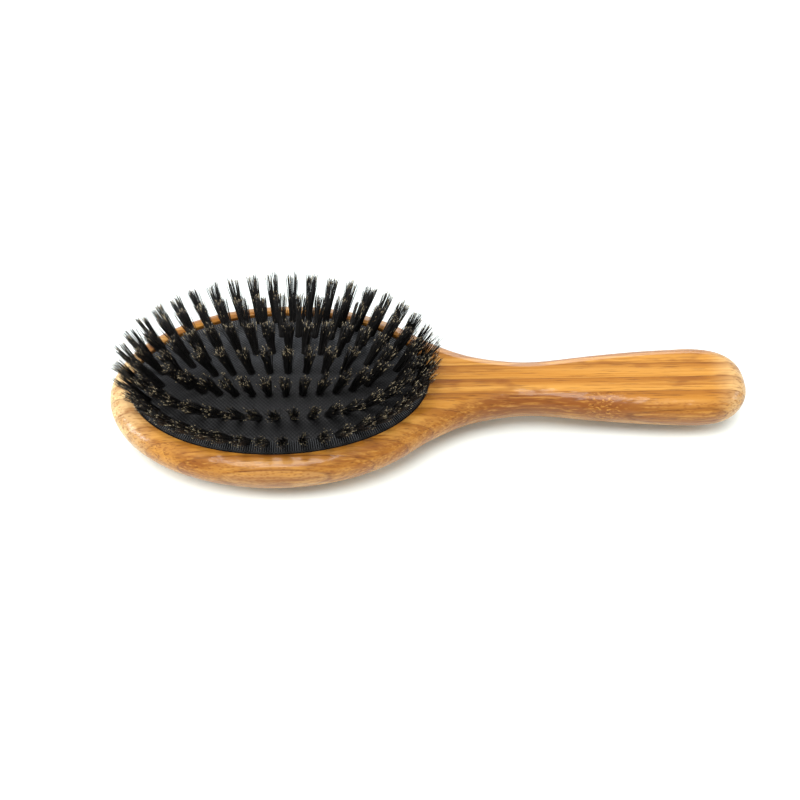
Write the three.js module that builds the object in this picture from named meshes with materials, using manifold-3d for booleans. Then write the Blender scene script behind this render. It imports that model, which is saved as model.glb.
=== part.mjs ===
// Oval air-cushion hairbrush. The bamboo body is glued up from upright staves. A domed rubber
// cushion is sprung into a pocket routed in the head, and bristle tufts are drawn through it on
// wires. Millimetres: X runs from the head (-X) to the end of the handle (+X), Z is up, and the
// flat back lies on Z = 0.

import * as THREE from 'three';
import { mergeVertices } from 'three/addons/utils/BufferGeometryUtils.js';
import Module from 'manifold-3d';

const wasm = await Module();
wasm.setup();

const overallLength = 235;
const headWidth = 84;
const gap = 0.3; // clearance between pieces that face each other

const body = {
  thickness: 19.8,
  widestZ: 14, // height of the widest line, where the two rounded edges meet
  topRound: 5.8,
  headBackRound: 17,
  handleBackRound: 9.5,
  handleLift: 3.2, // the handle is thinner than the head and its back stays clear of the table
  backChangesFrom: 97, // along the brush from the head's end
  backChangesTo: 125,
};

const head = { halfLength: 63, halfWidth: headWidth / 2, endsAt: 112, steps: 16 };

// Half-widths along the neck and handle, measured from the head's end.
const handleLine = [
  [112, 26.4], [120, 20.7], [132, 14.6], [145, 11.4], [158, 10.7], [178, 13.3], [196, 15.2], [214, 16.3],
];
const handleSteps = 10;
const buttEnd = { startsAt: 214, halfWidth: 16.3, fullness: 2.5, steps: 6 };

const staves = { pitch: 6.8, firstLine: -35.1, count: 13 };
const neckAt = 157; // the narrowest place, where staves outside the neck are sawn in two
const stavesSawnInTwo = [4, 9];

const pocket = {
  halfLength: 54.8,
  halfWidth: 34.5,
  floorZ: 9,
  wallInset: 1.5,
  grooveDepth: 2.2,
  grooveZ: [13.8, 17.2],
};

const cushion = {
  edgeZ: 19,
  crownRise: 5,
  thickness: 1.6,
  lipClearance: 0.6,
  segments: 36,
};

// Where the sheet is divided into bands that sink by different amounts.
const bandLines = {
  edge: [52, 31.7],
  middle: [46.3, 24.8],
  crown: [39, 15.2],
};

const tuft = { rootRadius: 1, tipRadius: 2.2, holeRadius: 1.6, rootDepth: 3.1, sides: 4 };
const wire = { radius: 0.45, depth: 2.6, sides: 3 };

// Each ring is a superellipse of tuft feet and another of tips: [half-length, half-width, exponent].
const tuftRings = [
  { name: 'outer', feet: [49.5, 29.6, 2], tips: [57, 40.4, 2], tipZ: 34, count: 40, start: 0.5, runs: 8 },
  { name: 'middle', feet: [43, 20, 2.2], tips: [51, 28.8, 2.2], tipZ: 34.4, count: 34, start: 0.5, runs: 8 },
  { name: 'inner', feet: [34.5, 10.2, 2.5], tips: [41, 14.2, 2.5], tipZ: 35, count: 26, start: 0, runs: 6 },
];
const centreRow = { name: 'centre', count: 8, pitch: 6.6, spread: 1.22, tipZ: 35.5, runs: 2 };

const headCentreX = head.halfLength - overallLength / 2;

// ---------- helpers ----------

function solidFrom(geometry) {
  const bare = geometry.index ? geometry.clone() : geometry;
  bare.deleteAttribute('normal');
  bare.deleteAttribute('uv');
  const merged = mergeVertices(bare, 1e-5);
  return new wasm.Manifold(new wasm.Mesh({
    numProp: 3,
    vertProperties: new Float32Array(merged.attributes.position.array),
    triVerts: new Uint32Array(merged.index.array),
  }));
}

function geometryFrom(solid) {
  const { numProp, vertProperties, triVerts } = solid.getMesh();
  const geometry = new THREE.BufferGeometry();
  const count = vertProperties.length / numProp;
  const positions = new Float32Array(count * 3);
  for (let i = 0; i < count; i++) {
    for (let k = 0; k < 3; k++) positions[3 * i + k] = vertProperties[numProp * i + k];
  }
  geometry.setAttribute('position', new THREE.BufferAttribute(positions, 3));
  geometry.setIndex(Array.from(triVerts));
  geometry.computeVertexNormals();
  return geometry;
}

// Skins a stack of loops. Each loop is an array of [x, y, z], counter-clockwise seen from above.
// The loops run upwards on the outside; closed joins the last loop back to the first.
function skin(loops, closed = false, bottomFaces = null) {
  const n = loops[0].length;
  const positions = loops.flat(2);
  const faces = [];
  const bands = closed ? loops.length : loops.length - 1;
  for (let j = 0; j < bands; j++) {
    const low = j * n;
    const high = ((j + 1) % loops.length) * n;
    for (let i = 0; i < n; i++) {
      const next = (i + 1) % n;
      faces.push(low + i, low + next, high + next, low + i, high + next, high + i);
    }
  }
  if (!closed) {
    const top = (loops.length - 1) * n;
    const flat = (loop) => loop.map(([x, y]) => new THREE.Vector2(x, y));
    if (bottomFaces) faces.push(...bottomFaces);
    else for (const [a, b, c] of THREE.ShapeUtils.triangulateShape(flat(loops[0]), [])) faces.push(a, c, b);
    for (const [a, b, c] of THREE.ShapeUtils.triangulateShape(flat(loops.at(-1)), [])) {
      faces.push(top + a, top + b, top + c);
    }
  }
  const geometry = new THREE.BufferGeometry();
  geometry.setAttribute('position', new THREE.BufferAttribute(new Float32Array(positions), 3));
  geometry.setIndex(faces);
  return geometry;
}

function smoothstep(low, high, value) {
  return THREE.MathUtils.smoothstep(value, low, high);
}

// ---------- body ----------

// One side of the outline, from the head's end to the butt: [distance along the brush, half-width].
function sideLine() {
  const points = [];
  const headTurn = Math.acos(1 - head.endsAt / head.halfLength);
  for (let i = 0; i < head.steps; i++) {
    const t = (headTurn * i) / head.steps;
    points.push([head.halfLength * (1 - Math.cos(t)), head.halfWidth * Math.sin(t)]);
  }
  const curve = new THREE.SplineCurve(handleLine.map(([x, w]) => new THREE.Vector2(x, w)));
  for (const p of curve.getPoints(handleSteps).slice(0, -1)) points.push([p.x, p.y]);
  const power = 2 / buttEnd.fullness;
  const reach = overallLength - buttEnd.startsAt;
  for (let i = 0; i <= buttEnd.steps; i++) {
    const t = (Math.PI / 2) * (i / buttEnd.steps);
    const sin = Math.sin(t) ** power;
    const cos = Math.max(Math.cos(t), 0) ** power;
    points.push([buttEnd.startsAt + reach * sin, i === buttEnd.steps ? 0 : buttEnd.halfWidth * cos]);
  }
  return points;
}

// The outline as points with outward normals, counter-clockwise from the head's end.
function outline() {
  const side = sideLine();
  const near = side.map(([x, w]) => [x, -w]);
  const far = side.slice(1, -1).reverse();
  const loop = near.concat(far);
  return loop.map(([x, y], i) => {
    const before = loop[(i + loop.length - 1) % loop.length];
    const after = loop[(i + 1) % loop.length];
    const normal = new THREE.Vector2(after[1] - before[1], before[0] - after[0]).normalize();
    return { x, y, normal };
  });
}

function bodyLoop(points, insetAt, heightAt) {
  return points.map(({ x, y, normal }) => {
    const inset = insetAt(x);
    return [x - overallLength / 2 - normal.x * inset, y - normal.y * inset, heightAt(x)];
  });
}

function backChange(x) {
  return smoothstep(body.backChangesFrom, body.backChangesTo, x);
}

function backRound(x) {
  return THREE.MathUtils.lerp(body.headBackRound, body.handleBackRound, backChange(x));
}

function backDepth(x) {
  return body.widestZ - body.handleLift * backChange(x);
}

// The back's faces run straight across, from each point of the near side to its twin on the far side.
function ladder(count) {
  const faces = [];
  const last = count / 2;
  for (let i = 0; i < last; i++) {
    if (i < last - 1) faces.push(i, count - i - 1, i + 1);
    if (i > 0) faces.push(i, count - i, i === last - 1 ? last : count - i - 1);
  }
  return faces;
}

function bodySolid() {
  const points = outline();
  const loops = [];
  const backSteps = 4;
  const topSteps = 3;
  for (let i = 0; i <= backSteps; i++) {
    const t = (Math.PI / 2) * (1 - i / backSteps);
    loops.push(bodyLoop(
      points, (x) => backRound(x) * (1 - Math.cos(t)), (x) => body.widestZ - backDepth(x) * Math.sin(t),
    ));
  }
  const rise = body.thickness - body.widestZ;
  for (let i = 1; i <= topSteps; i++) {
    const t = (Math.PI / 2) * (i / topSteps);
    const height = body.widestZ + rise * Math.sin(t);
    loops.push(bodyLoop(points, () => body.topRound * (1 - Math.cos(t)), () => height));
  }
  return solidFrom(skin(loops, false, ladder(points.length)));
}

// ---------- pocket and cushion ----------

function oval(halfLength, halfWidth, zAt) {
  return Array.from({ length: cushion.segments }, (_, i) => {
    const t = (2 * Math.PI * i) / cushion.segments;
    const x = halfLength * Math.cos(t);
    const y = halfWidth * Math.sin(t);
    return [headCentreX + x, y, typeof zAt === 'function' ? zAt(x, y) : zAt];
  });
}

function pocketOval(inset, zAt) {
  return oval(pocket.halfLength - inset, pocket.halfWidth - inset, zAt);
}

// Height of the cushion's upper face over the pocket's own centre lines.
function domeZ(x, y) {
  const out = (x / pocket.halfLength) ** 2 + (y / pocket.halfWidth) ** 2;
  return cushion.edgeZ + cushion.crownRise * (1 - out);
}

function undersideZ(x, y) {
  return domeZ(x, y) - cushion.thickness;
}

function pocketSolid() {
  const [grooveLow, grooveHigh] = pocket.grooveZ;
  return solidFrom(skin([
    pocketOval(pocket.wallInset, pocket.floorZ),
    pocketOval(pocket.wallInset, grooveLow),
    pocketOval(-pocket.grooveDepth, grooveLow),
    pocketOval(-pocket.grooveDepth, grooveHigh),
    pocketOval(0, grooveHigh),
    pocketOval(0, body.thickness + 1),
  ]));
}

// The cushion's rim: a bead that fills the groove and a wall that turns over into the dome.
function cushionRim() {
  const [grooveLow, grooveHigh] = pocket.grooveZ;
  const beadOut = gap - pocket.grooveDepth;
  const innerEdge = pocket.halfLength - bandLines.edge[0] - gap / 2;
  return solidFrom(skin([
    pocketOval(pocket.wallInset, grooveLow + gap),
    pocketOval(beadOut, grooveLow + gap),
    pocketOval(beadOut, grooveHigh - gap),
    pocketOval(cushion.lipClearance, grooveHigh - gap),
    pocketOval(cushion.lipClearance, domeZ),
    pocketOval(innerEdge, domeZ),
    pocketOval(innerEdge, undersideZ),
  ], true));
}

function cushionBand([outLength, outWidth], [inLength, inWidth]) {
  const outside = [outLength - gap / 2, outWidth - gap / 2];
  const inside = [inLength + gap / 2, inWidth + gap / 2];
  return solidFrom(skin([
    oval(...outside, undersideZ),
    oval(...outside, domeZ),
    oval(...inside, domeZ),
    oval(...inside, undersideZ),
  ], true));
}

function cushionCrown([halfLength, halfWidth]) {
  const rings = [1, 0.7, 0.4];
  const at = (share, zAt) => oval((halfLength - gap / 2) * share, (halfWidth - gap / 2) * share, zAt);
  const under = rings.map((share) => at(share, undersideZ)).reverse();
  const over = rings.map((share) => at(share, domeZ));
  return solidFrom(skin([...under, ...over]));
}

// ---------- tufts ----------

// Evenly spaced points along a superellipse, as [x, y] about the head's centre.
function pointsAlong([halfLength, halfWidth, exponent], count, start) {
  const bend = (v) => Math.sign(v) * Math.abs(v) ** (2 / exponent);
  const fine = 720;
  const path = Array.from({ length: fine + 1 }, (_, i) => {
    const t = (2 * Math.PI * i) / fine;
    return [halfLength * bend(Math.cos(t)), halfWidth * bend(Math.sin(t))];
  });
  const travelled = [0];
  for (let i = 1; i <= fine; i++) {
    travelled.push(travelled[i - 1] + Math.hypot(path[i][0] - path[i - 1][0], path[i][1] - path[i - 1][1]));
  }
  return Array.from({ length: count }, (_, k) => {
    const target = ((k + start) / count) * travelled[fine];
    const i = travelled.findIndex((d) => d > target) - 1;
    const share = (target - travelled[i]) / (travelled[i + 1] - travelled[i]);
    return [0, 1].map((axis) => THREE.MathUtils.lerp(path[i][axis], path[i + 1][axis], share));
  });
}

function tuftLine([footX, footY], [tipX, tipY], tipZ) {
  const foot = new THREE.Vector3(headCentreX + footX, footY, domeZ(footX, footY));
  const tip = new THREE.Vector3(headCentreX + tipX, tipY, tipZ);
  return { foot, tip, along: tip.clone().sub(foot).normalize() };
}

function ringTufts({ feet, tips, tipZ, count, start }) {
  const footPoints = pointsAlong(feet, count, start);
  const tipPoints = pointsAlong(tips, count, start);
  return footPoints.map((foot, i) => tuftLine(foot, tipPoints[i], tipZ));
}

function centreTufts({ count, pitch, spread, tipZ }) {
  return Array.from({ length: count }, (_, i) => {
    const x = (i - (count - 1) / 2) * pitch;
    return tuftLine([x, 0], [x * spread, 0], tipZ);
  });
}

// A faceted bar between two points, with its flats turned the same way for every bar on one line.
function bar(from, to, fromRadius, toRadius, sides = tuft.sides) {
  const line = to.clone().sub(from);
  const geometry = new THREE.CylinderGeometry(toRadius, fromRadius, line.length(), sides);
  geometry.applyQuaternion(new THREE.Quaternion().setFromUnitVectors(
    new THREE.Vector3(0, 1, 0), line.clone().normalize(),
  ));
  const middle = from.clone().add(to).multiplyScalar(0.5);
  geometry.translate(middle.x, middle.y, middle.z);
  return solidFrom(geometry);
}

function down(line, depth) {
  return line.foot.clone().addScaledVector(line.along, -depth);
}

function tuftSolid(line) {
  return bar(down(line, tuft.rootDepth), line.tip, tuft.rootRadius, tuft.tipRadius);
}

function tuftHole(line) {
  const reach = tuft.rootDepth;
  return bar(down(line, reach), down(line, -reach), tuft.holeRadius, tuft.holeRadius);
}

function wireSolid(from, to) {
  return bar(down(from, wire.depth), down(to, wire.depth), wire.radius, wire.radius, wire.sides);
}

// A run of tufts that one length of wire ties together behind the cushion.
function runSolid(lines) {
  let run = tuftSolid(lines[0]);
  for (let i = 1; i < lines.length; i++) {
    run = run.add(tuftSolid(lines[i]));
    run = run.add(wireSolid(lines[i - 1], lines[i]));
  }
  return run;
}

function pierced(sheet, lines) {
  return lines.reduce((rest, line) => rest.subtract(tuftHole(line)), sheet);
}

// ---------- assembly ----------

const brush = new THREE.Group();
brush.name = 'hairbrush';

function addPiece(parent, name, solid, color, roughness) {
  const material = new THREE.MeshStandardMaterial({ color, roughness, metalness: 0 });
  const mesh = new THREE.Mesh(geometryFrom(solid), material);
  mesh.name = name;
  parent.add(mesh);
}

function addStaves() {
  const frame = new THREE.Group();
  brush.add(frame);
  const blank = bodySolid().subtract(pocketSolid());
  const neckX = neckAt - overallLength / 2;
  const farX = overallLength / 2 + 1;
  const farY = headWidth / 2 + 1;
  const slice = (x0, x1, y0, y1) => {
    const box = new THREE.BoxGeometry(x1 - x0, y1 - y0, 2 * body.thickness + 2);
    box.translate((x0 + x1) / 2, (y0 + y1) / 2, body.thickness / 2);
    return blank.intersect(solidFrom(box));
  };
  const tones = [0xdba763, 0xd39b55, 0xe0b06f, 0xd6a05a];
  for (let k = 1; k <= staves.count; k++) {
    const y0 = k === 1 ? -farY : staves.firstLine + (k - 2) * staves.pitch;
    const y1 = k === staves.count ? farY : staves.firstLine + (k - 1) * staves.pitch;
    const name = `stave_${String(k).padStart(2, '0')}`;
    const tone = tones[k % tones.length];
    if (stavesSawnInTwo.includes(k)) {
      addPiece(frame, `${name}_head`, slice(-farX, neckX, y0, y1), tone, 0.35);
      addPiece(frame, `${name}_handle`, slice(neckX, farX, y0, y1), tone, 0.35);
    } else {
      addPiece(frame, name, slice(-farX, farX, y0, y1), tone, 0.35);
    }
  }
}

function addRuns(parent, name, lines, runs) {
  for (let k = 0; k < runs; k++) {
    const from = Math.round((k * lines.length) / runs);
    const to = Math.round(((k + 1) * lines.length) / runs);
    addPiece(parent, `${name}_tufts_${k + 1}`, runSolid(lines.slice(from, to)), 0x1c1916, 0.6);
  }
}

function addCushion() {
  const pad = new THREE.Group();
  brush.add(pad);
  const rubber = 0x202024;
  const [outer, middle, inner] = tuftRings.map(ringTufts);
  const centre = centreTufts(centreRow);
  const { edge, middle: middleLine, crown } = bandLines;
  addPiece(pad, 'cushion_rim', cushionRim(), rubber, 0.7);
  addPiece(pad, 'cushion_outer_band', pierced(cushionBand(edge, middleLine), outer), rubber, 0.7);
  addPiece(pad, 'cushion_middle_band', pierced(cushionBand(middleLine, crown), middle), rubber, 0.7);
  addPiece(pad, 'cushion_crown', pierced(cushionCrown(crown), [...inner, ...centre]), rubber, 0.7);
  [outer, middle, inner].forEach((lines, i) => addRuns(pad, tuftRings[i].name, lines, tuftRings[i].runs));
  addRuns(pad, centreRow.name, centre, centreRow.runs);
}

addStaves();
addCushion();

export default brush;
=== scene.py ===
import math

import bmesh
import bpy
import numpy as np
from mathutils import Matrix, Vector


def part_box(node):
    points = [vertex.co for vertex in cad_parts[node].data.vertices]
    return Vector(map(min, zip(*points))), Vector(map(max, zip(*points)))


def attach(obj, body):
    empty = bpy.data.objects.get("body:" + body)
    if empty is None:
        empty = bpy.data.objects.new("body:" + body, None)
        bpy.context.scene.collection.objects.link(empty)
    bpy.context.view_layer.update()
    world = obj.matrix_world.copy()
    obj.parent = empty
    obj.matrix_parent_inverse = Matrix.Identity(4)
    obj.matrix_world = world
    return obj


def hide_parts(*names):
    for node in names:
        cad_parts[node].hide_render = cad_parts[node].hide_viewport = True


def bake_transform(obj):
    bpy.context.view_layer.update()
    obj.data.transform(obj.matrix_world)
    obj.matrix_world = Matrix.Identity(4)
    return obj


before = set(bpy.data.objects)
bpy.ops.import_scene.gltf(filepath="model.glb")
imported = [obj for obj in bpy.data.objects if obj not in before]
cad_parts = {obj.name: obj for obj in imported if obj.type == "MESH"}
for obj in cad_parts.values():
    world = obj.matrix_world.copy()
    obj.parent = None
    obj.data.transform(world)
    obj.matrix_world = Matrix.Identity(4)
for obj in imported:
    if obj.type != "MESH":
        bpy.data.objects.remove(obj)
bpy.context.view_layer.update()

# Bamboo cushion hairbrush, lying on its back. The shape is worked out in millimetres along the
# brush's own axes and turned into metres only when a mesh is made.
mm = 0.001


cameraView = {  # millimetres and degrees
    "target": (-10.5, -0.5, 8.0),
    "elevation": 49.45,
    "azimuth": -0.58,
    "roll": -0.38,
    "distance": 414.0,
    "lens": 49.65,
    "sensor": 36,
}


def placeCamera(view):
    elev, azim, roll = (math.radians(view[k]) for k in ("elevation", "azimuth", "roll"))
    back = Vector((math.sin(azim) * math.cos(elev), -math.cos(azim) * math.cos(elev), math.sin(elev)))
    flat = Vector((math.cos(azim), math.sin(azim), 0))
    lift = back.cross(flat)
    right = math.cos(roll) * flat + math.sin(roll) * lift
    up = math.cos(roll) * lift - math.sin(roll) * flat
    data = bpy.data.cameras.new("tableCamera")
    data.lens = view["lens"]
    data.sensor_width = view["sensor"]
    data.clip_start = 0.01
    camera = bpy.data.objects.new("tableCamera", data)
    bpy.context.collection.objects.link(camera)
    place = Matrix((right, up, back)).transposed().to_4x4()
    place.translation = (Vector(view["target"]) + back * view["distance"]) * mm
    camera.matrix_world = place
    bpy.context.scene.camera = camera


placeCamera(cameraView)

studio = {
    "floorSize": 60.0,
    "floorColor": (0.88, 0.95, 0.94),
    "floorRoughness": 0.9,
    "skyStrength": 0.6,
    "lampsLookAt": (0, 0, 0.01),
    "lamps": [
        # name, where it stands, apparent width in degrees, strength
        ("overheadLight", (-0.10, -0.22, 0.87), 32, 2.45),
        ("leftLight", (-0.80, -0.05, 0.42), 20, 1.6),
        ("rightLight", (0.80, 0.05, 0.45), 19, 0.5),
        ("backLight", (0.10, 0.90, 0.26), 30, 0.8),
    ],
}


def setUpStudio(studio):
    half = studio["floorSize"] / 2
    data = bpy.data.meshes.new("tableTop")
    corners = [(-half, -half, 0), (half, -half, 0), (half, half, 0), (-half, half, 0)]
    data.from_pydata(corners, [], [(0, 1, 2, 3)])
    floor = bpy.data.objects.new("tableTop", data)
    bpy.context.collection.objects.link(floor)
    paper = bpy.data.materials.new("whitePaper")
    paper.use_nodes = True
    face = paper.node_tree.nodes["Principled BSDF"]
    face.inputs["Base Color"].default_value = (*studio["floorColor"], 1)
    face.inputs["Roughness"].default_value = studio["floorRoughness"]
    data.materials.append(paper)
    world = bpy.data.worlds.new("softRoom")
    world.use_nodes = True
    sky = world.node_tree.nodes["Background"]
    sky.inputs["Color"].default_value = (1, 1, 1, 1)
    sky.inputs["Strength"].default_value = studio["skyStrength"]
    bpy.context.scene.world = world
    aim = Vector(studio["lampsLookAt"])
    for name, place, width, strength in studio["lamps"]:
        lamp = bpy.data.lights.new(name, "SUN")
        lamp.angle = math.radians(width)
        lamp.energy = strength
        holder = bpy.data.objects.new(name, lamp)
        holder.location = place
        holder.rotation_euler = (aim - Vector(place)).to_track_quat("-Z", "Y").to_euler()
        bpy.context.collection.objects.link(holder)
    bpy.context.scene.view_settings.view_transform = "Standard"


setUpStudio(studio)
print("camera and studio set")


def linearColor(red, green, blue):  # each from 0 to 255
    def channel(value):
        value /= 255
        return value / 12.92 if value <= 0.04045 else ((value + 0.055) / 1.055) ** 2.4
    return (channel(red), channel(green), channel(blue), 1)


def smoothStep(low, high, value):
    t = np.clip((np.asarray(value, float) - low) / (high - low), 0, 1)
    return t * t * (3 - 2 * t)


def meshFrom(name, points, faces):
    data = bpy.data.meshes.new(name)
    data.from_pydata((np.asarray(points) * mm).tolist(), [], faces)
    data.validate()
    return data


def addPiece(name, data, finish, sharpOver=None):
    data.materials.append(finish)
    data.shade_smooth()
    if sharpOver is not None:
        data.set_sharp_from_angle(angle=math.radians(sharpOver))
    piece = bpy.data.objects.new(name, data)
    bpy.context.collection.objects.link(piece)
    return piece


class NodeBench:  # short calls for laying out a material's nodes
    def __init__(self, name):
        self.finish = bpy.data.materials.new(name)
        self.finish.use_nodes = True
        self.tree = self.finish.node_tree
        self.skin = self.tree.nodes["Principled BSDF"]

    def add(self, kind, settings=None, **inputs):
        node = self.tree.nodes.new(kind)
        for key, value in (settings or {}).items():
            setattr(node, key, value)
        for key, value in inputs.items():  # an input goes by its name, or as _0, _1, _2 by its place
            self.plug(node.inputs[int(key[1:]) if key[0] == "_" else key], value)
        return node

    def plug(self, socket, value):
        if isinstance(value, bpy.types.NodeSocket):
            self.tree.links.new(value, socket)
        else:
            socket.default_value = value

    def math(self, operation, first, second=0.0, third=0.0, clamp=False):
        settings = {"operation": operation, "use_clamp": clamp}
        return self.add("ShaderNodeMath", settings, _0=first, _1=second, _2=third).outputs[0]

    def ramp(self, value, low, high, toLow=0.0, toHigh=1.0, kind="SMOOTHSTEP"):
        node = self.add("ShaderNodeMapRange", {"interpolation_type": kind})
        for index, number in enumerate((value, low, high, toLow, toHigh)):
            self.plug(node.inputs[index], number)
        return node.outputs[0]

    def mix(self, share, first, second):
        node = self.add("ShaderNodeMix", {"data_type": "RGBA"})
        self.plug(node.inputs["Factor"], share)
        self.plug(node.inputs[6], first)
        self.plug(node.inputs[7], second)
        return node.outputs[2]

    def scaled(self, vector, factors, shift=(0, 0, 0)):
        node = self.add("ShaderNodeMapping", {"vector_type": "POINT"}, Vector=vector)
        node.inputs["Scale"].default_value = factors
        node.inputs["Location"].default_value = shift
        return node.outputs[0]

    def noise(self, vector, detail=3.0, roughness=0.55):
        node = self.add("ShaderNodeTexNoise", Vector=vector)
        node.inputs["Scale"].default_value = 1
        node.inputs["Detail"].default_value = detail
        node.inputs["Roughness"].default_value = roughness
        return node.outputs[0]

    def cells(self, vector):
        node = self.add("ShaderNodeTexVoronoi", {"feature": "F1"}, Vector=vector)
        node.inputs["Scale"].default_value = 1
        return node.outputs["Distance"]

    def bump(self, height, depth, strength=1.0):
        node = self.add("ShaderNodeBump", Height=height)
        node.inputs["Strength"].default_value = strength
        node.inputs["Distance"].default_value = depth
        return node.outputs[0]


middleLow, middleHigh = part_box("stave_07")  # the middle stave runs the whole length of the brush

body = {
    "length": round((middleHigh.x - middleLow.x) / mm, 2),
    "thickness": round((middleHigh.z - middleLow.z) / mm, 2),
    "widestZ": 14.0,
    "topRound": 5.8,
    "topTurn": 74,  # degrees of the upper edge's arc: the flat top keeps a faint crease
    "headBackRound": 17.0,
    "handleBackRound": 9.5,
    "handleLift": 3.2,  # the handle is thinner than the head, so its back hangs over the table
    "backChanges": (97, 125),  # from the head's rounding to the handle's
    "headHalf": (63.0, 42.0),
    "headEnds": 112.0,
    "handleLine": [  # distance from the head's end, half-width there
        (112, 26.4), (120, 20.7), (132, 14.6), (145, 11.4),
        (158, 10.7), (178, 13.3), (196, 15.2), (214, 16.3),
    ],
    "buttStarts": 214.0,
    "buttHalf": 16.3,
    "buttFullness": 2.5,
    "joinsEased": ((100, 106), (221, 226)),  # comes in over the first pair, goes out over the second
    "easePasses": 60,
    "headSamples": 400,
    "handleSamples": 40,
    "buttSamples": 200,
    "sideSamples": 1200,
    "around": 560,
    "backSteps": 15,
    "topSteps": 11,
    "sharpOver": 13,
}

pocket = {
    "half": (54.8, 34.5),
    "floorZ": 9.0,
    "wallInset": 1.5,
    "grooveDepth": 2.2,
    "groove": (13.8, 17.2),
    "lipRound": 0.45,
    "lipSteps": 5,
    "around": 300,
}

staves = {"pitch": 6.8, "firstLine": -35.1, "count": 13, "sawn": (4, 9), "neck": 157.0}

headX = body["headHalf"][0] - body["length"] / 2


def catmullRom(points, perSpan):
    points = np.asarray(points, float)
    out = []
    for i in range(len(points) - 1):
        before, start, end, after = (points[min(max(i + k, 0), len(points) - 1)] for k in (-1, 0, 1, 2))
        for t in np.arange(perSpan) / perSpan:
            leave, arrive = (end - before) / 2, (after - start) / 2
            out.append((2 * start - 2 * end + leave + arrive) * t**3
                       + (-3 * start + 3 * end - 2 * leave - arrive) * t**2 + leave * t + start)
    return np.array(out)


def evenly(path, count, start=0.0, closed=False):
    steps = np.hypot(*np.diff(path, axis=0).T)
    travelled = np.concatenate([[0], np.cumsum(steps)])
    if closed:
        at = (np.arange(count) + start) / count * travelled[-1]
    else:
        at = np.linspace(0, travelled[-1], count)
    return np.stack([np.interp(at, travelled, path[:, k]) for k in range(path.shape[1])], 1)


def sideLine():
    halfLength, halfWidth = body["headHalf"]
    turn = math.acos(1 - body["headEnds"] / halfLength)
    t = np.linspace(0, turn, body["headSamples"])[:-1]
    front = np.stack([halfLength * (1 - np.cos(t)), halfWidth * np.sin(t)], 1)
    handle = catmullRom(body["handleLine"], body["handleSamples"])
    t = np.linspace(0, math.pi / 2, body["buttSamples"])
    reach = body["length"] - body["buttStarts"]
    power = 2 / body["buttFullness"]
    butt = np.stack([body["buttStarts"] + reach * np.sin(t)**power,
                     body["buttHalf"] * np.clip(np.cos(t), 0, 1)**power], 1)
    line = evenly(np.concatenate([front, handle, butt]), body["sideSamples"])
    smooth = line.copy()
    for _ in range(body["easePasses"]):  # eases the joins of the three stretches
        smooth[1:-1] = (smooth[:-2] + 2 * smooth[1:-1] + smooth[2:]) / 4
    comesIn, goesOut = body["joinsEased"]
    ease = smoothStep(*comesIn, line[:, 0]) * (1 - smoothStep(*goesOut, line[:, 0]))
    return line + (smooth - line) * ease[:, None]


def outlineRing():
    side = sideLine()
    near = np.stack([side[:, 0], -side[:, 1]], 1)
    far = side[-2:0:-1]
    loop = np.concatenate([near, far, near[:1]])
    ring = evenly(loop, body["around"], closed=True)
    along = np.roll(ring, -1, 0) - np.roll(ring, 1, 0)
    normal = np.stack([along[:, 1], -along[:, 0]], 1)
    normal /= np.hypot(*normal.T)[:, None]
    return ring, normal


def bodyRings():
    ring, normal = outlineRing()
    change = smoothStep(*body["backChanges"], ring[:, 0])
    backRound = body["headBackRound"] + (body["handleBackRound"] - body["headBackRound"]) * change
    rings = []

    def put(inset, z):
        place = ring - normal * inset[:, None]
        rings.append(np.column_stack([place[:, 0] - body["length"] / 2, place[:, 1], z]))

    depth = body["widestZ"] - body["handleLift"] * change
    for t in np.linspace(math.pi / 2, 0, body["backSteps"] + 1):
        put(backRound * (1 - math.cos(t)), body["widestZ"] - depth * math.sin(t))
    turn = math.radians(body["topTurn"])
    rise = body["thickness"] - body["widestZ"]
    for t in np.linspace(0, turn, body["topSteps"] + 1)[1:]:
        inset = body["topRound"] * (1 - math.cos(t)) / (1 - math.cos(turn))
        height = body["widestZ"] + rise * math.sin(t) / math.sin(turn)
        put(np.full(len(ring), inset), np.full(len(ring), height))
    return rings


def pocketRing(inset, z):
    halfLength, halfWidth = pocket["half"]
    t = 2 * math.pi * np.arange(pocket["around"]) / pocket["around"]
    x = (halfLength - inset) * np.cos(t)
    y = (halfWidth - inset) * np.sin(t)
    return np.column_stack([headX + x, y, np.full(len(t), float(z))])


def pocketRings():  # over the lip, down the wall, round the groove and on to the floor
    low, high = pocket["groove"]
    lip = pocket["lipRound"]
    steps = [(-lip * (1 - math.sin(t)), body["thickness"] - lip * (1 - math.cos(t)))
             for t in np.linspace(0, math.pi / 2, pocket["lipSteps"])]
    steps += [(0, high), (-pocket["grooveDepth"], high), (-pocket["grooveDepth"], low),
              (pocket["wallInset"], low), (pocket["wallInset"], pocket["floorZ"])]
    return [pocketRing(inset, z) for inset, z in steps]


def stitch(mesh, rings):
    rows = [[mesh.verts.new(p * mm) for p in ring] for ring in rings]
    for low, high in zip(rows, rows[1:]):
        for i in range(len(low)):
            j = (i + 1) % len(low)
            mesh.faces.new((low[i], low[j], high[j], high[i]))
    return rows


def edgesOf(mesh, row):
    return [mesh.edges.get((row[i], row[(i + 1) % len(row)])) for i in range(len(row))]


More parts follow.
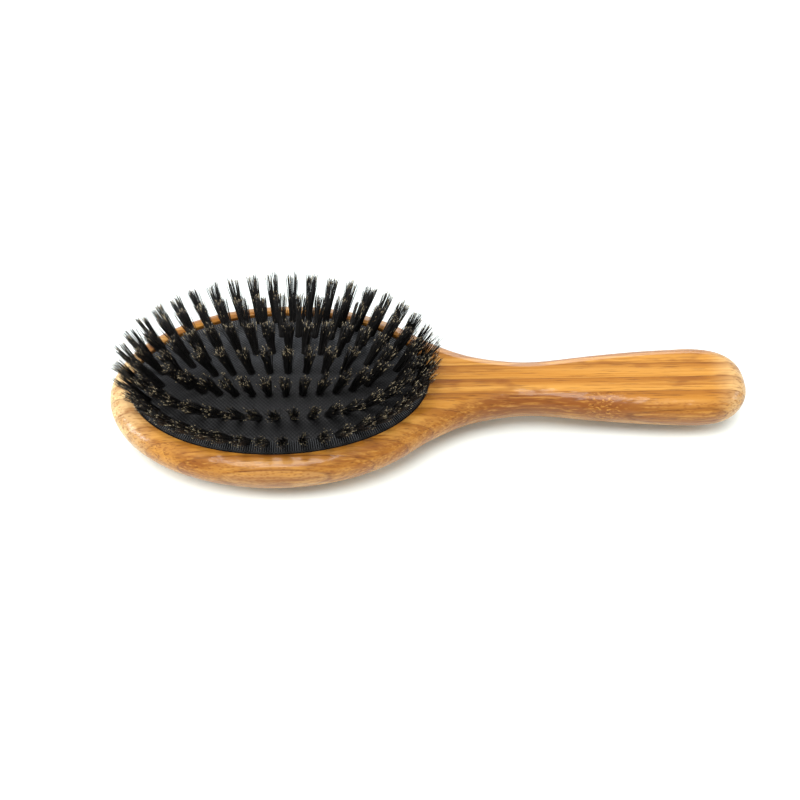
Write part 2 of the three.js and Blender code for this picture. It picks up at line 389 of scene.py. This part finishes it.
def makeBlank():
    mesh = bmesh.new()
    outside = stitch(mesh, bodyRings())
    inside = stitch(mesh, pocketRings())
    topEdges = edgesOf(mesh, outside[-1]) + edgesOf(mesh, inside[0])
    bmesh.ops.triangle_fill(mesh, use_beauty=True, edges=topEdges)
    under = outside[0]
    for i in range(len(under) // 2):  # the back runs straight across, side to side
        corners = [under[i], under[i + 1], under[-i - 1], under[-i] if i else under[0]]
        mesh.faces.new(list(dict.fromkeys(corners)))
    bmesh.ops.triangle_fill(mesh, use_beauty=True, edges=edgesOf(mesh, inside[-1]))
    bmesh.ops.recalc_face_normals(mesh, faces=mesh.faces)
    return mesh


def sawOff(mesh, point, direction):  # removes what lies on the direction's side and closes the cut
    cut = bmesh.ops.bisect_plane(
        mesh, geom=mesh.verts[:] + mesh.edges[:] + mesh.faces[:], dist=1e-7,
        plane_co=point, plane_no=direction, clear_outer=True)
    edges = [e for e in cut["geom_cut"] if isinstance(e, bmesh.types.BMEdge)]
    if edges:
        bmesh.ops.triangle_fill(mesh, use_beauty=True, edges=edges)


def staveList():  # number, node, the two joint lines, the two sawn ends
    rows = []
    far = 60.0  # clear of the wood
    neckX = staves["neck"] - body["length"] / 2
    for k in range(1, staves["count"] + 1):
        low = -far if k == 1 else staves["firstLine"] + (k - 2) * staves["pitch"]
        high = far if k == staves["count"] else staves["firstLine"] + (k - 1) * staves["pitch"]
        name = f"stave_{k:02d}"
        if k in staves["sawn"]:
            rows.append((k, name + "_head", low, high, None, neckX))
            rows.append((k, name + "_handle", low, high, neckX, None))
        else:
            rows.append((k, name, low, high, None, None))
    return rows


bamboo = {
    "cut": (236, 204, 148),
    "pale": (204, 146, 66),
    "gold": (180, 118, 38),
    "brown": (132, 75, 26),
    "fibre": (84, 40, 14),
    "glue": (98, 52, 20),
    # how golden each stave is, from the front; the two far staves are painted paler, painted light on
    # the far rim that the tufts shade
    "tones": (0.60, 0.70, 0.40, 0.50, 0.66, 0.44, 0.50, 0.36, 0.62, 0.45, 0.55, 0.15, 0.30),
    "knuckles": {  # stave: distance of its growth ring from the head's end
        1: 12, 2: 22, 3: 60, 4: 72, 5: 181, 6: 84, 7: 40, 8: 66, 9: 206, 10: 30, 11: 98, 12: 52, 13: 80,
    },
    "knuckleFades": (1, 11),
    "darkKnuckles": (5, 7, 9, 12),
    "turned": (12, 13),  # these two are glued the other way round
    # painted shade on the handle's front side, deeper than on the other sides
    "handleShadeStaves": (4, 5),
    "handleShadeStretch": (164, 18, 46, 1.0),  # middle, half-length, fades out by, how brown
    "outerLayerAt": 40.0,
    "headEndFades": (0.5, 23.5),
    "buttFades": (219.5, 233.0),
    "sideStarts": (18.2, 19.5),  # heights over which the top turns into the side
    "backEnds": (6.0, 14.5),  # and the back into the side
    # how fine each pattern is along, across and through a stave
    "waver": (320, 700, 700),
    "broad": (7, 300, 190),
    "streak": (14, 1050, 620),
    "fine": (34, 3400, 2600),
    "patch": (38, 90, 170),
    "bundle": (85, 1250, 1250),
    "dash": (560, 1350, 1350),
    "sideStreak": (60, 900, 900),
    "speck": (450, 1150, 1150),
    "ripple": (90, 260, 260),
    "waverPush": (0.0039, 0.0004),  # in metres, at the growth ring and away from it
    # how much each one changes the colour
    "broadTint": 2.0,
    "streakTint": 2.3,
    "crowdedTint": 0.45,
    "outerLayerPale": 0.2,
    # painted shade: how much browner the rounded sides are painted
    "paintedSideShade": 0.42,
    "paintedSideShadeLow": 0.3,  # share of it left under the rounding
    "backPale": 0.3,
    # the head's end is also painted paler as painted light
    "headEndPaleAndLit": 0.95,
    "buttPale": 0.55,
    "streakBrown": 0.62,
    "crowdedBrown": 0.35,
    "patchBrown": 0.65,
    "sideStreakPale": 0.55,
    "dashBrown": 0.5,
    "knuckleGround": 0.5,
    "knuckleFlecks": 0.65,
    "dots": (0.32, 0.15, 0.2),  # everywhere, more where fibres crowd, more at the growth ring
    "seamDark": 0.5,
    "roughness": (0.38, 0.52),
    "specular": 0.12,
    "lacquer": 0.36,
    "lacquerRoughness": 0.15,
    "reliefDepth": 0.06,
    "rippleDepth": 0.45,
}


def bambooFinish(k, low, high):
    bench = NodeBench(f"bambooStave{k:02d}")
    skin = bench.skin
    where = bench.add("ShaderNodeTexCoord").outputs["Object"]
    apart = bench.add("ShaderNodeSeparateXYZ", Vector=where)
    x, y, z = apart.outputs
    shift = (k * 1.7, k * 0.9, k * 2.3)  # each stave has its own stretch of the patterns
    colorNames = ("cut", "pale", "gold", "brown", "fibre", "glue")
    paint = {name: linearColor(*bamboo[name]) for name in colorNames}
    headEndX = -body["length"] / 2

    def fineness(name, vector):
        return bench.scaled(vector, bamboo[name], shift)

    def dotted(name, vector, full, gone):
        return bench.ramp(bench.cells(fineness(name, vector)), full, gone, 1.0, 0.0)

    def gapTo(value, place):
        return bench.math("ABSOLUTE", bench.math("SUBTRACT", value, place * mm))

    fadeStart, fadeEnd = (v * mm for v in bamboo["knuckleFades"])
    knuckle = bench.ramp(gapTo(x, bamboo["knuckles"][k] + headEndX), fadeStart, fadeEnd, 1.0, 0.0)
    # the fibres run straight along the stave and waver at its growth ring
    atKnuckle, elsewhere = bamboo["waverPush"]
    waver = bench.add("ShaderNodeTexNoise", Vector=fineness("waver", where))
    waver.inputs["Scale"].default_value = 1
    waver.inputs["Detail"].default_value = 2
    push = bench.add("ShaderNodeVectorMath", {"operation": "SUBTRACT"}, _0=waver.outputs["Color"],
                     _1=(0.5, 0.5, 0.5))
    push = bench.add("ShaderNodeVectorMath", {"operation": "SCALE"}, _0=push.outputs[0])
    howFar = bench.math("MULTIPLY_ADD", knuckle, atKnuckle - elsewhere, elsewhere)
    bench.plug(push.inputs["Scale"], howFar)
    pushed = bench.add("ShaderNodeVectorMath", {"operation": "ADD"}, _0=where, _1=push.outputs[0])
    grain = pushed.outputs[0]
    broad = bench.noise(fineness("broad", grain), detail=2)
    streak = bench.noise(fineness("streak", grain), detail=3, roughness=0.6)
    fine = bench.noise(fineness("fine", grain), detail=2)
    patch = bench.noise(fineness("patch", where), detail=3, roughness=0.6)
    sideStreak = bench.noise(fineness("sideStreak", where), detail=3, roughness=0.6)
    bundle = dotted("bundle", grain, 0.12, 0.42)
    dash = dotted("dash", where, 0.15, 0.5)
    speck = dotted("speck", grain, 0.2, 0.5)
    # fibres crowd towards the side that was the outside of the cane
    halfWidth = body["headHalf"][1]
    across = bench.ramp(y, max(low, -halfWidth) * mm, min(high, halfWidth) * mm, kind="LINEAR")
    crowded = bench.ramp(across, 0.65, 0.02) if k in bamboo["turned"] else bench.ramp(across, 0.35, 0.98)
    # the flat top shows long streaks, the rounded sides short dashes
    sideStart, sideEnd = (v * mm for v in bamboo["sideStarts"])
    side = bench.ramp(z, sideStart, sideEnd, 1.0, 0.0)
    backStart, backEnd = (v * mm for v in bamboo["backEnds"])
    upper = bench.ramp(z, backStart, backEnd)

    tint = bamboo["tones"][k - 1]
    tint = bench.math("MULTIPLY_ADD", bench.math("SUBTRACT", broad, 0.5), bamboo["broadTint"], tint)
    tint = bench.math("MULTIPLY_ADD", bench.math("SUBTRACT", streak, 0.5), bamboo["streakTint"], tint)
    tint = bench.math("MULTIPLY_ADD", crowded, bamboo["crowdedTint"], tint, clamp=True)
    color = bench.mix(tint, paint["pale"], paint["gold"])
    edge = bench.math("MINIMUM", gapTo(y, low), gapTo(y, high))
    if k in (1, staves["count"]):  # the last shaving of the outer staves is a paler layer
        outer = bench.math("SUBTRACT", bench.math("ABSOLUTE", y), bamboo["outerLayerAt"] * mm)
        inLayer = bench.ramp(outer, -0.0001, 0.0002, 0.0, bamboo["outerLayerPale"])
        color = bench.mix(inLayer, color, paint["cut"])
        edge = bench.math("MINIMUM", edge, bench.math("ABSOLUTE", outer))
    # painted shade: the rounded sides are painted browner; the cut ends stay pale, and the head's end is
    # painted paler still as painted light
    sideShadeDepth = bamboo["paintedSideShade"]
    # deeper painted shade along the handle's front side
    if k in bamboo["handleShadeStaves"]:
        middle, reach, fade, brownest = bamboo["handleShadeStretch"]
        sideShadeDepth = bench.ramp(gapTo(x, middle + headEndX), reach * mm, fade * mm, brownest, sideShadeDepth)
    # less painted shade under the widest line
    lowShare = bamboo["paintedSideShadeLow"]
    sideShadeMask = bench.math("MULTIPLY", side, bench.math("MULTIPLY_ADD", upper, 1 - lowShare, lowShare))
    sideShadeMask = bench.math("MULTIPLY", sideShadeMask, sideShadeDepth)
    color = bench.mix(sideShadeMask, color, paint["brown"])
    color = bench.mix(bench.ramp(upper, 0.0, 1.0, bamboo["backPale"], 0.0), color, paint["cut"])
    # the head's end is end grain, painted paler still as painted light from the left
    headStart, headStop = ((v + headEndX) * mm for v in bamboo["headEndFades"])
    buttStart, buttStop = ((v + headEndX) * mm for v in bamboo["buttFades"])
    headEnd = bench.ramp(x, headStart, headStop, bamboo["headEndPaleAndLit"], 0.0)
    buttEnd = bench.ramp(x, buttStart, buttStop, 0.0, bamboo["buttPale"])
    color = bench.mix(bench.math("MAXIMUM", headEnd, buttEnd), color, paint["cut"])
    # streaks and patches
    color = bench.mix(bench.ramp(streak, 0.50, 0.72, 0.0, bamboo["streakBrown"]), color, paint["brown"])
    color = bench.mix(bench.math("MULTIPLY", crowded, bamboo["crowdedBrown"]), color, paint["brown"])
    color = bench.mix(bench.ramp(patch, 0.50, 0.66, 0.0, bamboo["patchBrown"]), color, paint["brown"])
    paleStreak = bench.ramp(sideStreak, 0.52, 0.32, 0.0, bamboo["sideStreakPale"])
    color = bench.mix(bench.math("MULTIPLY", side, paleStreak), color, paint["pale"])
    sideDash = bench.math("MULTIPLY", side, bench.math("MULTIPLY", dash, bamboo["dashBrown"]))
    color = bench.mix(sideDash, color, paint["brown"])
    # the growth ring
    ground, fleck = ("brown", "pale") if k in bamboo["darkKnuckles"] else ("pale", "brown")
    color = bench.mix(bench.math("MULTIPLY", knuckle, bamboo["knuckleGround"]), color, paint[ground])
    flecks = bench.math("MULTIPLY", knuckle, bench.math("MULTIPLY", speck, bamboo["knuckleFlecks"]))
    color = bench.mix(flecks, color, paint[fleck])
    # the dark ends of the fibre bundles, and the glued joints
    everywhere, ifCrowded, ifKnuckle = bamboo["dots"]
    dotShare = bench.math("MULTIPLY_ADD", knuckle, ifKnuckle, everywhere)
    dotShare = bench.math("MULTIPLY_ADD", crowded, ifCrowded, dotShare)
    dots = bench.math("MULTIPLY", bundle, dotShare)
    dots = bench.math("MULTIPLY", dots, bench.ramp(fine, 0.25, 0.6, 0.3, 1.2))
    color = bench.mix(dots, color, paint["fibre"])
    seam = bench.ramp(edge, 0.00003, 0.0004, bamboo["seamDark"], 0.0)
    seam = bench.math("MULTIPLY", seam, bench.ramp(streak, 0.35, 0.65, 0.4, 1.0))
    color = bench.mix(seam, color, paint["glue"])

    bench.plug(skin.inputs["Base Color"], color)
    bench.plug(skin.inputs["Roughness"], bench.ramp(streak, 0.3, 0.7, *bamboo["roughness"], "LINEAR"))
    skin.inputs["Specular IOR Level"].default_value = bamboo["specular"]
    skin.inputs["Coat Weight"].default_value = bamboo["lacquer"]
    skin.inputs["Coat Roughness"].default_value = bamboo["lacquerRoughness"]
    relief = bench.math("MULTIPLY_ADD", bundle, -0.7, bench.math("MULTIPLY", fine, 0.6))
    relief = bench.math("MULTIPLY_ADD", seam, -0.6, relief)
    bench.plug(skin.inputs["Normal"], bench.bump(relief, bamboo["reliefDepth"] * mm, 0.7))
    # the lacquer lies in slow ripples along the grain, which break up its shine
    ripple = bench.noise(fineness("ripple", where), detail=2)
    bench.plug(skin.inputs["Coat Normal"], bench.bump(ripple, bamboo["rippleDepth"] * mm))
    return bench.finish


def makeStaves():
    blank = makeBlank()
    finishes = {}
    for k, node, low, high, fromX, toX in staveList():
        mesh = blank.copy()
        sawOff(mesh, (0, low * mm, 0), (0, -1, 0))
        sawOff(mesh, (0, high * mm, 0), (0, 1, 0))
        if fromX is not None:
            sawOff(mesh, (fromX * mm, 0, 0), (-1, 0, 0))
        if toX is not None:
            sawOff(mesh, (toX * mm, 0, 0), (1, 0, 0))
        bmesh.ops.recalc_face_normals(mesh, faces=mesh.faces)
        data = bpy.data.meshes.new(node)
        mesh.to_mesh(data)
        mesh.free()
        if k not in finishes:
            finishes[k] = bambooFinish(k, low, high)
        piece = addPiece("bamboo_" + node, data, finishes[k], body["sharpOver"])
        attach(piece, "handle_and_head")
        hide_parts(node)
    blank.free()


makeStaves()
print("bamboo staves sawn")


cushion = {
    "edgeZ": 19.0,
    "crownRise": 5.0,
    "thickness": 1.6,
    "lipClearance": 0.6,
    "beadGap": 0.3,  # the bead lies this far inside its groove
    "beadCorner": 0.5,
    "collar": (0.16, 1.9, 0.7),  # round each foot: height, radius, width
    "dent": (0.35, 1.1),  # at each foot: depth, width
    "edgeRound": 0.7,
    "edgeSteps": 6,
    "rimSamples": 4001,
    "underShares": (0.02, 0.2, 0.4, 0.6, 0.8, 0.9, 0.95),  # rings of the underside, from its middle
    "ribs": 344,
    "ribDepth": 0.17,
    "ribBand": (0.7, 4.8),
    "ribFadeIn": (-0.4, 0.3),  # from the band's start
    "ribFadeOut": 0.6,
    "samplesPerRib": 4,
    # how strongly the ribs are painted light and dark
    "ribPaintedLight": 0.8,
    "bandRings": 14,
    "fieldRings": 70,
    "fieldShares": (0.99, 0.012),
    "weavePitch": 1.0,
    "rubber": (8, 8, 9),
    "worn": (25, 25, 27),
    # painted highlight on the rib crests and painted shade in the rib grooves
    "crest": (98, 101, 104),
    "groove": (6, 6, 7),
    # painted reflection on the cushion's far half
    "farSheenGrey": (72, 75, 80),
    "farSheenGreyShare": 0.6,
    "dustShare": 0.2,
    "roughness": (0.66, 0.46),
    "specular": 0.3,
    "sheen": 0.14,
    "sheenRoughness": 0.4,
    "weaveDepth": 0.14,
    "weaveWobble": (220, 220, 220),
    "dust": (70, 110, 110),
    "sharpOver": 50,
}

tuftRings = [
    # node stem, body, oval of the feet, oval of the tips, height of the tips, tufts, start, runs
    # an oval is its half-length, half-width and fullness, where 2 is a plain ellipse
    ("outer", "cushion_outer_zone", (49.5, 29.6, 2), (57, 40.4, 2), 34.0, 40, 0.5, 8),
    ("middle", "cushion_middle_zone", (43, 20, 2.2), (51, 28.8, 2.2), 34.4, 34, 0.5, 8),
    ("inner", "cushion_crown_zone", (34.5, 10.2, 2.5), (41, 14.2, 2.5), 35.0, 26, 0.0, 6),
]
centreRow = {
    "body": "cushion_crown_zone",
    "count": 8,
    "pitch": 6.6,
    "spread": 1.22,  # how much further apart the tips are than the feet
    "tipZ": 35.5,
    "runs": 2,
}
tuftPathSamples = 1441


def domeZ(x, y):  # over the head's own centre
    out = (x / pocket["half"][0])**2 + (y / pocket["half"][1])**2
    return cushion["edgeZ"] + cushion["crownRise"] * (1 - out)


def superOval(oval, count, start):
    halfLength, halfWidth, fullness = oval
    t = np.linspace(0, 2 * math.pi, tuftPathSamples)

    def bend(v):
        return np.sign(v) * np.abs(v)**(2 / fullness)

    path = np.stack([halfLength * bend(np.cos(t)), halfWidth * bend(np.sin(t))], 1)
    return evenly(path, count, start, closed=True)


def tuftLines():  # node stem -> (body, runs, list of (foot, tip))
    lines = {}
    for stem, zone, feet, tips, tipZ, count, start, runs in tuftRings:
        footAt = superOval(feet, count, start)
        tipAt = superOval(tips, count, start)
        row = [(np.array([headX + f[0], f[1], domeZ(*f)]), np.array([headX + t[0], t[1], tipZ]))
               for f, t in zip(footAt, tipAt)]
        lines[stem] = (zone, runs, row)
    xs = (np.arange(centreRow["count"]) - (centreRow["count"] - 1) / 2) * centreRow["pitch"]
    row = [(np.array([headX + x, 0, domeZ(x, 0)]),
            np.array([headX + x * centreRow["spread"], 0, centreRow["tipZ"]])) for x in xs]
    lines["centre"] = (centreRow["body"], centreRow["runs"], row)
    return lines


allTufts = tuftLines()


def footRelief(x, y):  # a shallow dent round each foot, with a low collar
    height = np.zeros_like(x)
    collarHigh, collarAt, collarWide = cushion["collar"]
    dentDeep, dentWide = cushion["dent"]
    for _, _, row in allTufts.values():
        for foot, _ in row:
            reach = np.hypot(x - (foot[0] - headX), y - foot[1])
            height += collarHigh * np.exp(-((reach - collarAt) / collarWide)**2)
            height -= dentDeep * np.exp(-(reach / dentWide)**2)
    return height


def rimLine(count):  # the sheet's edge and its outward direction, in even steps
    halfLength, halfWidth = (h - cushion["lipClearance"] for h in pocket["half"])
    t = np.linspace(0, 2 * math.pi, cushion["rimSamples"])
    rim = evenly(np.stack([halfLength * np.cos(t), halfWidth * np.sin(t)], 1), count, closed=True)
    normal = np.stack([rim[:, 0] / halfLength**2, rim[:, 1] / halfWidth**2], 1)
    return rim, normal / np.hypot(*normal.T)[:, None]


def cushionRings():  # from the middle of the underside outwards, round the bead and back over the dome
    fineCount = cushion["ribs"] * cushion["samplesPerRib"]
    rim, normal = rimLine(cushion["ribs"] * 2)
    fineRim, fineNormal = rimLine(fineCount)
    rings, crests = [], []

    def put(place, z, crest=0.0):
        rings.append(np.column_stack([headX + place[:, 0], place[:, 1], z]))
        crests.append(np.full(len(z), 1.0) * crest)

    for share in cushion["underShares"]:
        place = rim * share
        put(place, domeZ(*place.T) - cushion["thickness"])
    low, high = (pocket["groove"][0] + cushion["beadGap"], pocket["groove"][1] - cushion["beadGap"])
    bead = pocket["grooveDepth"] + cushion["lipClearance"] - cushion["beadGap"]
    corner = cushion["beadCorner"]
    for inset, z in ((1.0, low), (corner - bead, low), (-bead, low + corner),
                     (-bead, high - corner), (corner - bead, high), (-0.02, high)):
        put(rim - normal * inset, np.full(len(rim), z))
    turn = cushion["edgeRound"]
    for a in np.linspace(0, math.pi / 2, cushion["edgeSteps"])[:-1]:
        inner = fineRim - fineNormal * turn
        place = fineRim - fineNormal * turn * (1 - math.cos(a))
        put(place, domeZ(*inner.T) - turn * (1 - math.sin(a)))
    start, end = cushion["ribBand"]
    fadeFrom, fadeTo = cushion["ribFadeIn"]
    phase = 2 * math.pi * np.arange(fineCount) / cushion["samplesPerRib"]
    for inset in np.linspace(start, end, cushion["bandRings"]):
        place = fineRim - fineNormal * inset
        rises = float(smoothStep(start + fadeFrom, start + fadeTo, inset))
        falls = float(smoothStep(end - cushion["ribFadeOut"], end, inset))
        ribs = rises * (1 - falls) * np.cos(phase)
        put(place, domeZ(*place.T) + footRelief(*place.T) + cushion["ribDepth"] * ribs, ribs)
    field = rim - normal * end
    for share in np.linspace(*cushion["fieldShares"], cushion["fieldRings"]):
        place = field * share
        put(place, domeZ(*place.T) + footRelief(*place.T))
    return rings, crests


def makeCushion():
    rings, crests = cushionRings()
    starts = np.cumsum([0] + [len(ring) for ring in rings])
    faces = []
    for j in range(len(rings) - 1):
        a, b = starts[j], starts[j + 1]
        n, m = len(rings[j]), len(rings[j + 1])
        few = min(n, m)
        for i in range(few):  # where the count changes, one wide face meets several narrow ones
            lower = [a + (i * n // few + s) % n for s in range(n // few + 1)]
            upper = [b + (i * m // few + s) % m for s in range(m // few + 1)]
            faces.append(tuple(int(v) for v in lower + upper[::-1]))
    count, last = len(rings[0]), int(starts[-2])
    middleUnder, middleOver = int(starts[-1]), int(starts[-1]) + 1
    faces += [((i + 1) % count, i, middleUnder) for i in range(count)]
    faces += [(last + i, last + (i + 1) % count, middleOver) for i in range(count)]
    middles = [[headX, 0, rings[0][0, 2]], [headX, 0, rings[-1][0, 2]]]
    data = meshFrom("rubberCushion", np.concatenate(rings + [middles]), faces)
    attribute = data.attributes.new("ribCrest", "FLOAT", "POINT")
    attribute.data.foreach_set("value", np.concatenate(crests + [np.zeros(2)]).astype(np.float32))
    return data


def rubberFinish():
    bench = NodeBench("clothTexturedRubber")
    skin = bench.skin
    where = bench.add("ShaderNodeTexCoord").outputs["Object"]
    apart = bench.add("ShaderNodeSeparateXYZ", Vector=where)
    x, y = apart.outputs[0], apart.outputs[1]
    turn = 2 * math.pi / (cushion["weavePitch"] * mm) * 0.7071  # the threads run at 45 degrees
    wobble = bench.noise(bench.scaled(where, cushion["weaveWobble"]), detail=2)
    drift = bench.math("MULTIPLY", bench.math("SUBTRACT", wobble, 0.5), 1.2)
    warp = bench.math("SINE", bench.math("MULTIPLY_ADD", bench.math("ADD", x, y), turn, drift))
    weft = bench.math("SINE", bench.math("MULTIPLY_ADD", bench.math("SUBTRACT", x, y), turn, drift))
    weave = bench.math("MULTIPLY_ADD", bench.math("ADD", warp, weft), 0.25, 0.5)
    dust = bench.noise(bench.scaled(where, cushion["dust"]), detail=4, roughness=0.65)
    color = bench.mix(bench.ramp(weave, 0.3, 0.95, 0.0, 0.9), linearColor(*cushion["rubber"]),
                      linearColor(*cushion["worn"]))
    dusty = bench.ramp(dust, 0.5, 0.8, 0.0, cushion["dustShare"])
    color = bench.mix(dusty, color, linearColor(*cushion["worn"]))
    # painted reflection: the far half is painted a bluish grey sheen, patchy
    farSheenArea = bench.ramp(y, -0.010, 0.026, 0.0, cushion["farSheenGreyShare"])
    paintedFarSheen = bench.math("MULTIPLY", farSheenArea, bench.ramp(dust, 0.3, 0.7, 0.3, 1.0))
    color = bench.mix(paintedFarSheen, color, linearColor(*cushion["farSheenGrey"]))
    # painted highlight on the rib crests, painted shade between the ribs
    crest = bench.add("ShaderNodeAttribute", {"attribute_name": "ribCrest"}).outputs["Fac"]
    ribHighlight = bench.ramp(crest, 0.1, 0.9, 0.0, cushion["ribPaintedLight"])
    ribShade = bench.ramp(crest, -0.05, -0.5, 0.0, cushion["ribPaintedLight"])
    color = bench.mix(ribHighlight, color, linearColor(*cushion["crest"]))
    color = bench.mix(ribShade, color, linearColor(*cushion["groove"]))
    bench.plug(skin.inputs["Base Color"], color)
    bench.plug(skin.inputs["Roughness"], bench.ramp(weave, 0, 1, *cushion["roughness"], "LINEAR"))
    skin.inputs["Specular IOR Level"].default_value = cushion["specular"]
    skin.inputs["Sheen Weight"].default_value = cushion["sheen"]
    skin.inputs["Sheen Roughness"].default_value = cushion["sheenRoughness"]
    bench.plug(skin.inputs["Normal"], bench.bump(weave, cushion["weaveDepth"] * mm))
    return bench.finish


def addCushion():
    pad = addPiece("rubberCushion", makeCushion(), rubberFinish(), cushion["sharpOver"])
    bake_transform(pad)
    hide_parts("cushion_rim", "cushion_outer_band", "cushion_middle_band", "cushion_crown")


addCushion()
print("rubber cushion moulded")


bristle = {
    "hairs": 90,  # in one tuft
    "locks": 7,  # hairs cling together in locks towards the tip
    "shares": (0, 0.22, 0.45, 0.66, 0.84, 0.94, 1),  # where the points sit along a hair
    "sides": 3,
    "radius": (0.135, 0.075),  # at the root and at the tip
    "footSpread": 1.2,
    "tipSpread": 2.5,
    "rootDepth": 3.1,
    "curve": 1.3,  # how late a hair leaves the tuft's axis
    "sway": 0.28,
    "swayTurn": 2.6,
    "cling": (0.1, 0.75),  # how closely hairs follow their lock
    "lockOut": (0.45, 0.95),  # how far out a lock ends
    "lockTurn": 0.35,
    "tipScatter": 0.13,
    "reachScatter": 0.035,
    "shortShare": 0.35,
    "shortReach": (0.62, 0.93),
    "strayShare": 0.08,
    "strayOut": (1.2, 1.6),
    "splay": 0.35,  # more spread next to the neck, by use
    "splayFrom": (38, 50),
    "split": ((0.94, 0.97, 0.84), (0.5, 0.4, 0.1)),  # where a split, pale end may start, and how often
    "splitFade": 0.05,
    "splitShare": 0.46,
    "splitPaleness": (0.5, 1.0),
    "wireRadius": 0.3,
    "wireDepth": 2.6,
    "wireSides": 8,
    "speck": (900, 900, 500),
    "roughness": (0.38, 0.55),
    "shaft": (14, 12, 11),
    "amber": (88, 72, 48),
    "cream": (196, 181, 145),
}


def crossAxes(along):
    side = np.cross(along, (0.0, 0.0, 1.0)) if abs(along[2]) < 0.999 else np.array([1.0, 0, 0])
    side /= np.linalg.norm(side)
    return side, np.cross(side, along)


def tube(path, radii, sides, points, faces):
    first = len(points)
    forward = np.gradient(path, axis=0)
    forward /= np.linalg.norm(forward, axis=1)[:, None]
    for place, along, radius in zip(path, forward, radii):
        right, up = crossAxes(along)
        for k in range(sides):
            a = 2 * math.pi * k / sides
            points.append(place + radius * (math.cos(a) * right + math.sin(a) * up))
    for j in range(len(path) - 1):
        a = first + j * sides
        for k in range(sides):
            n = (k + 1) % sides
            faces.append((a + k, a + k + sides, a + n + sides, a + n))
    faces.append(tuple(first + k for k in range(sides)))
    last = first + (len(path) - 1) * sides
    faces.append(tuple(last + k for k in reversed(range(sides))))


def hairPaths(foot, tip, chance, flare):
    along = tip - foot
    length = np.linalg.norm(along)
    along = along / length
    right, up = crossAxes(along)
    count, locks = bristle["hairs"], bristle["locks"]
    turn = chance.uniform(0, 2 * math.pi, count)
    out = np.sqrt(chance.uniform(0.01, 1, count))
    root = np.stack([out * np.cos(turn), out * np.sin(turn)], 1)
    scatter = bristle["lockTurn"]
    lockTurn = (np.arange(locks) + chance.uniform(-scatter, scatter, locks)) / locks * 2 * math.pi
    lockOut = chance.uniform(*bristle["lockOut"], locks)
    lockTip = np.stack([lockOut * np.cos(lockTurn), lockOut * np.sin(lockTurn)], 1)
    lockReach = chance.normal(0, bristle["reachScatter"], locks)
    nearest = np.argmin(np.linalg.norm(root[:, None] - lockTip[None], axis=2), axis=1)
    cling = chance.uniform(*bristle["cling"], count)[:, None]
    end = root * (1 - cling) + lockTip[nearest] * cling
    end = end + chance.normal(0, bristle["tipScatter"], (count, 2))
    isStray = chance.uniform(size=count) < bristle["strayShare"]
    stray = np.where(isStray, chance.uniform(*bristle["strayOut"], count), 1.0)
    isShort = chance.uniform(size=count) < bristle["shortShare"]
    shortReach = chance.uniform(*bristle["shortReach"], count)
    fullReach = chance.normal(1.0, bristle["reachScatter"], count)
    reach = np.where(isShort, shortReach, fullReach) + lockReach[nearest]
    sway = chance.normal(0, bristle["sway"], (count, 2))
    share = np.array(bristle["shares"])
    paths = []
    for i in range(count):
        depth = share * (length * reach[i] + bristle["rootDepth"]) - bristle["rootDepth"]
        height = np.clip(depth / length, 0, None)[:, None]
        opened = height**bristle["curve"]
        spread = bristle["footSpread"] * root[i] * (1 - opened)
        spread = spread + bristle["tipSpread"] * stray[i] * flare * end[i] * opened
        spread = spread + sway[i] * np.sin(bristle["swayTurn"] * height) * height
        sideways = np.outer(spread[:, 0], right) + np.outer(spread[:, 1], up)
        paths.append(foot + np.outer(depth, along) + sideways)
    return paths


def makeRun(name, row, chance):
    points, faces, paleness = [], [], []
    rootRadius, tipRadius = bristle["radius"]
    share = np.array(bristle["shares"])
    radii = rootRadius + (tipRadius - rootRadius) * share**2
    splitStarts, splitOdds = bristle["split"]
    for foot, tip in row:
        flare = 1 + bristle["splay"] * float(smoothStep(*bristle["splayFrom"], foot[0] - headX))
        for path in hairPaths(foot, tip, chance, flare):
            tube(path, radii, bristle["sides"], points, faces)
            split = chance.choice(splitStarts, p=splitOdds)
            isPale = chance.uniform() < bristle["splitShare"]
            strength = chance.uniform(*bristle["splitPaleness"]) if isPale else 0.0
            shade = np.clip((share - split) / bristle["splitFade"], 0, 1) * strength
            paleness += np.repeat(shade, bristle["sides"]).tolist()
    # the drawing wire behind the cushion holds the tufts' folded roots
    roots = np.array([foot - (tip - foot) / np.linalg.norm(tip - foot) * bristle["wireDepth"]
                      for foot, tip in row])
    before = len(points)
    tube(roots, np.full(len(roots), bristle["wireRadius"]), bristle["wireSides"], points, faces)
    paleness += [0.0] * (len(points) - before)
    data = meshFrom(name, np.array(points), faces)
    attribute = data.attributes.new("paleness", "FLOAT", "POINT")
    attribute.data.foreach_set("value", np.array(paleness, np.float32))
    return data


def bristleFinish():
    bench = NodeBench("naturalBristle")
    skin = bench.skin
    where = bench.add("ShaderNodeTexCoord").outputs["Object"]
    pale = bench.add("ShaderNodeAttribute", {"attribute_name": "paleness"}).outputs["Fac"]
    speck = bench.noise(bench.scaled(where, bristle["speck"]), detail=2)
    band = bench.math("MULTIPLY_ADD", bench.math("SUBTRACT", speck, 0.5), 0.3, pale, clamp=True)
    color = bench.mix(bench.ramp(band, 0.1, 0.45), linearColor(*bristle["shaft"]),
                      linearColor(*bristle["amber"]))
    color = bench.mix(bench.ramp(band, 0.3, 0.8), color, linearColor(*bristle["cream"]))
    bench.plug(skin.inputs["Base Color"], color)
    bench.plug(skin.inputs["Roughness"], bench.ramp(speck, 0.3, 0.7, *bristle["roughness"], "LINEAR"))
    return bench.finish


def addTufts():
    finish = bristleFinish()
    for order, (stem, (zone, runs, row)) in enumerate(allTufts.items()):
        for k in range(runs):
            first = math.floor(k * len(row) / runs + 0.5)
            last = math.floor((k + 1) * len(row) / runs + 0.5)
            chance = np.random.default_rng(100 * order + k)
            node = f"{stem}_tufts_{k + 1}"
            piece = addPiece(f"bristle_{node}", makeRun(node, row[first:last], chance), finish)
            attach(piece, zone)
            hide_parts(node)


addTufts()
print("bristle tufts drawn in")
